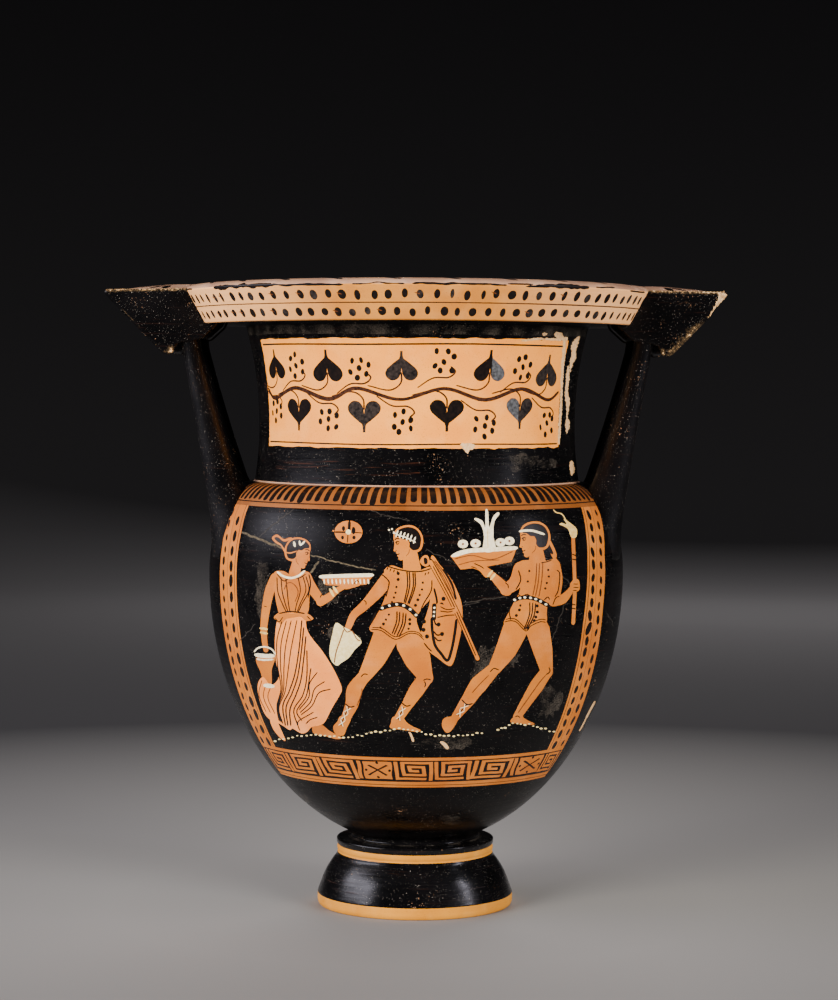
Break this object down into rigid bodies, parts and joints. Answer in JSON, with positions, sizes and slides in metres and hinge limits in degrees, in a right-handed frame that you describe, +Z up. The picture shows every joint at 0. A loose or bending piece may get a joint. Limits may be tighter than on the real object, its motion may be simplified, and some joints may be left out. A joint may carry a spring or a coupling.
{
  "type": "column krater",
  "caption": "Wide-mouthed clay mixing bowl on a ring foot, with a tall neck, an overhanging flat rim and an upright column handle at each side.",
  "frame": {"origin": "centre of the resting ring under the foot", "axes": "+Z up the axis of the pot, X through the two handles, and the picture side faces -Y"},
  "size_m": [0.4898, 0.377, 0.4995],
  "materials": {
    "black_gloss": "black gloss slip fired on orange clay"
  },
  "bodies": {
    "root": {"krater": "black_gloss"}
  },
  "joints": []
}
